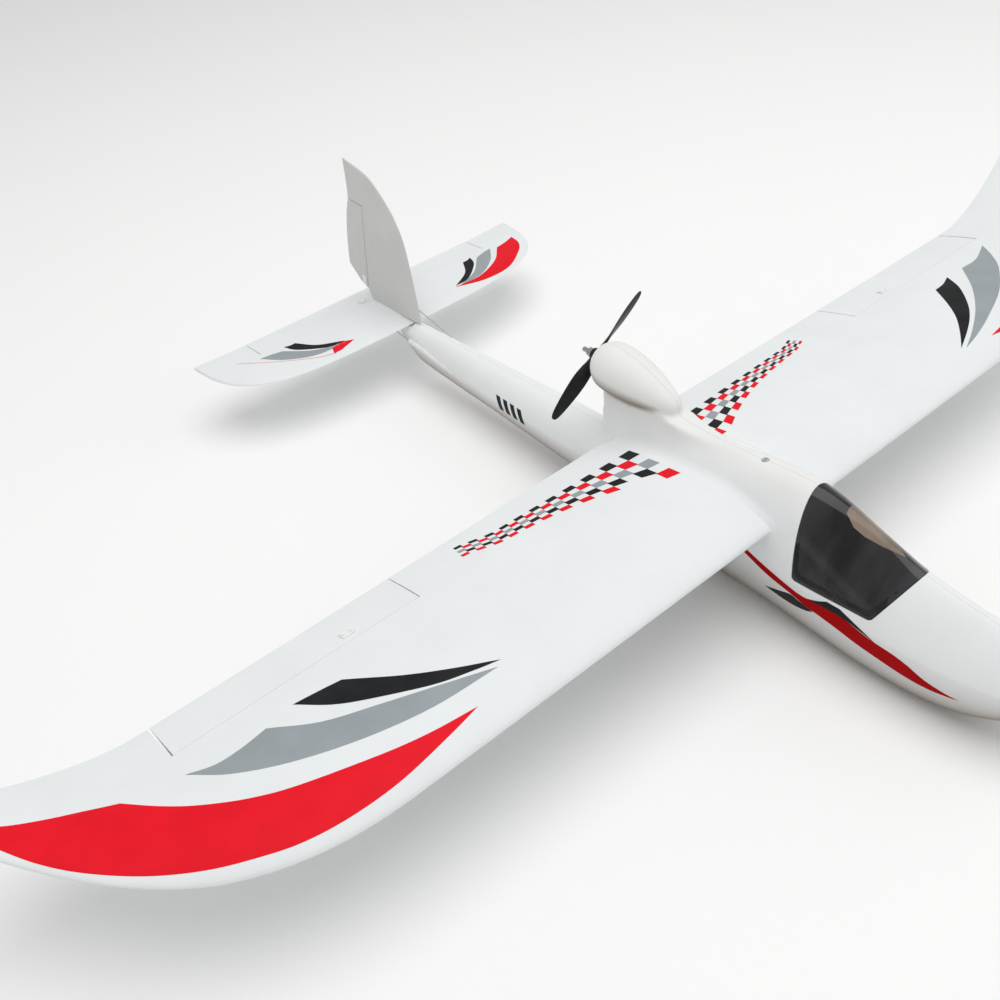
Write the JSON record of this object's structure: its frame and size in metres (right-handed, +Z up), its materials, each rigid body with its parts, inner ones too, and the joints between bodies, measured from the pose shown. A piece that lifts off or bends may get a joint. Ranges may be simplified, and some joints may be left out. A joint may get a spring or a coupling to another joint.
{
  "type": "radio-controlled sailplane",
  "caption": "Electric foam sailplane with a pusher motor pod over the wing, lift-off canopy, moving ailerons, elevator and rudder, servos and pushrods.",
  "frame": {"origin": "centre of the bounding box in plan, at the belly", "axes": "+X along the left (port) wing, -Y towards the nose, +Z up"},
  "size_m": [1.4, 0.9405, 0.255],
  "materials": {
    "foam": "moulded foam",
    "canopy_plastic": "smoked gloss",
    "black_plastic": "moulded",
    "magnet": "nickel plated",
    "plywood": "bare ply",
    "battery_wrap": "shrink wrap",
    "strap": "woven",
    "heat_shrink": "shrink sleeve",
    "grey_plastic": "moulded",
    "servo_case": "moulded",
    "white_plastic": "nylon",
    "steel": "wire",
    "guide_tube": "nylon tube",
    "carbon": "pultruded",
    "anodised": "black anodised",
    "windings": "enamelled copper on steel",
    "aluminium": "turned",
    "propeller_plastic": "glass-filled nylon",
    "horn_plastic": "nylon"
  },
  "bodies": {
    "airframe": {"fuselage_left": "foam", "fuselage_right": "foam", "motor_pod": "foam", "bay_magnets": "magnet", "battery_tray": "plywood", "battery_pack": "battery_wrap", "battery_strap": "strap", "speed_controller": "heat_shrink", "receiver": "grey_plastic", "servo_tray": "plywood", "elevator_servo": "servo_case", "rudder_servo": "servo_case", "elevator_guide_tube": "guide_tube", "rudder_guide_tube": "guide_tube", "spar_tube": "carbon", "rear_wing_pin": "carbon", "wing_clamp_block": "grey_plastic", "wing_bolt": "grey_plastic", "motor_mount": "anodised", "motor_mount_screws": "steel", "motor_stator": "windings", "motor_bearings": "steel", "wing_left": "foam", "wing_right": "foam", "aileron_servo_left": "servo_case", "aileron_servo_right": "servo_case", "stabilizer": "foam", "fin": "foam"},
    "canopy": {"canopy_shell": "canopy_plastic", "canopy_frame": "black_plastic", "canopy_magnets": "magnet"},
    "rotor": {"motor_bell": "anodised", "motor_shaft": "steel", "prop_adapter": "aluminium", "propeller": "propeller_plastic", "prop_washer": "aluminium", "prop_nut": "aluminium"},
    "aileron_left": {"aileron_left": "foam", "aileron_horn_left": "horn_plastic", "aileron_horn_plate_left": "horn_plastic"},
    "aileron_right": {"aileron_right": "foam", "aileron_horn_right": "horn_plastic", "aileron_horn_plate_right": "horn_plastic"},
    "elevator": {"elevator": "foam", "elevator_horn": "horn_plastic", "elevator_horn_plate": "horn_plastic"},
    "rudder": {"rudder": "foam", "rudder_horn": "horn_plastic", "rudder_horn_plate": "horn_plastic"},
    "aileron_arm_left": {"aileron_servo_arm_left": "white_plastic"},
    "aileron_arm_right": {"aileron_servo_arm_right": "white_plastic"},
    "elevator_arm": {"elevator_servo_arm": "white_plastic"},
    "rudder_arm": {"rudder_servo_arm": "white_plastic"},
    "aileron_rod_left": {"aileron_pushrod_left": "steel"},
    "aileron_rod_right": {"aileron_pushrod_right": "steel"},
    "elevator_rod": {"elevator_pushrod": "steel"},
    "rudder_rod": {"rudder_pushrod": "steel"}
  },
  "joints": [
    {"name": "canopy_lift", "type": "slide", "parent": "airframe", "child": "canopy", "axis": [0, 0, 1], "range_m": [0, 0.09]},
    {"name": "propeller_spin", "type": "hinge", "parent": "airframe", "child": "rotor", "pos_m": [0, 0.029, 0.163], "axis": [0, 1, 0], "continuous": true},
    {"name": "aileron_left_hinge", "type": "hinge", "parent": "airframe", "child": "aileron_left", "pos_m": [0.36, -0.0605, 0.10777], "axis": [1, 0, 0], "range_deg": [-25, 25]},
    {"name": "aileron_arm_left_turn", "type": "hinge", "parent": "airframe", "child": "aileron_arm_left", "pos_m": [0.36, -0.124, 0.10777], "axis": [1, 0, 0], "range_deg": [-25, 25]},
    {"name": "aileron_rod_left_turn", "type": "hinge", "parent": "aileron_arm_left", "child": "aileron_rod_left", "pos_m": [0.36, -0.124, 0.09177], "axis": [1, 0, 0], "range_deg": [-25, 25]},
    {"name": "aileron_right_hinge", "type": "hinge", "parent": "airframe", "child": "aileron_right", "pos_m": [-0.36, -0.0605, 0.10777], "axis": [1, 0, 0], "range_deg": [-25, 25]},
    {"name": "aileron_arm_right_turn", "type": "hinge", "parent": "airframe", "child": "aileron_arm_right", "pos_m": [-0.36, -0.124, 0.10777], "axis": [1, 0, 0], "range_deg": [-25, 25]},
    {"name": "aileron_rod_right_turn", "type": "hinge", "parent": "aileron_arm_right", "child": "aileron_rod_right", "pos_m": [-0.36, -0.124, 0.09177], "axis": [1, 0, 0], "range_deg": [-25, 25]},
    {"name": "elevator_hinge", "type": "hinge", "parent": "airframe", "child": "elevator", "pos_m": [0, 0.4225, 0.0795], "axis": [1, 0, 0], "range_deg": [-25, 25]},
    {"name": "elevator_arm_turn", "type": "hinge", "parent": "airframe", "child": "elevator_arm", "pos_m": [-0.017, -0.11, 0.041], "axis": [1, 0, 0], "range_deg": [-25, 25]},
    {"name": "elevator_rod_turn", "type": "hinge", "parent": "elevator_arm", "child": "elevator_rod", "pos_m": [-0.017, -0.11, 0.029], "axis": [1, 0, 0], "range_deg": [-25, 25]},
    {"name": "rudder_hinge", "type": "hinge", "parent": "airframe", "child": "rudder", "pos_m": [0, 0.431, 0.09], "axis": [0, -0.1488, 0.9889], "range_deg": [-30, 30]},
    {"name": "rudder_arm_turn", "type": "hinge", "parent": "airframe", "child": "rudder_arm", "pos_m": [0.008, -0.075, 0.046], "axis": [0, -0.1488, 0.9889], "range_deg": [-30, 30]},
    {"name": "rudder_rod_turn", "type": "hinge", "parent": "rudder_arm", "child": "rudder_rod", "pos_m": [0.02, -0.075, 0.046], "axis": [0, -0.1488, 0.9889], "range_deg": [-30, 30]}
  ],
  "couplings": [
    {"joint": "aileron_arm_left_turn", "follows": "aileron_left_hinge", "ratio": 1},
    {"joint": "aileron_rod_left_turn", "follows": "aileron_left_hinge", "ratio": -1},
    {"joint": "aileron_arm_right_turn", "follows": "aileron_right_hinge", "ratio": 1},
    {"joint": "aileron_rod_right_turn", "follows": "aileron_right_hinge", "ratio": -1},
    {"joint": "elevator_arm_turn", "follows": "elevator_hinge", "ratio": 1},
    {"joint": "elevator_rod_turn", "follows": "elevator_hinge", "ratio": -1},
    {"joint": "rudder_arm_turn", "follows": "rudder_hinge", "ratio": 1},
    {"joint": "rudder_rod_turn", "follows": "rudder_hinge", "ratio": -1}
  ]
}
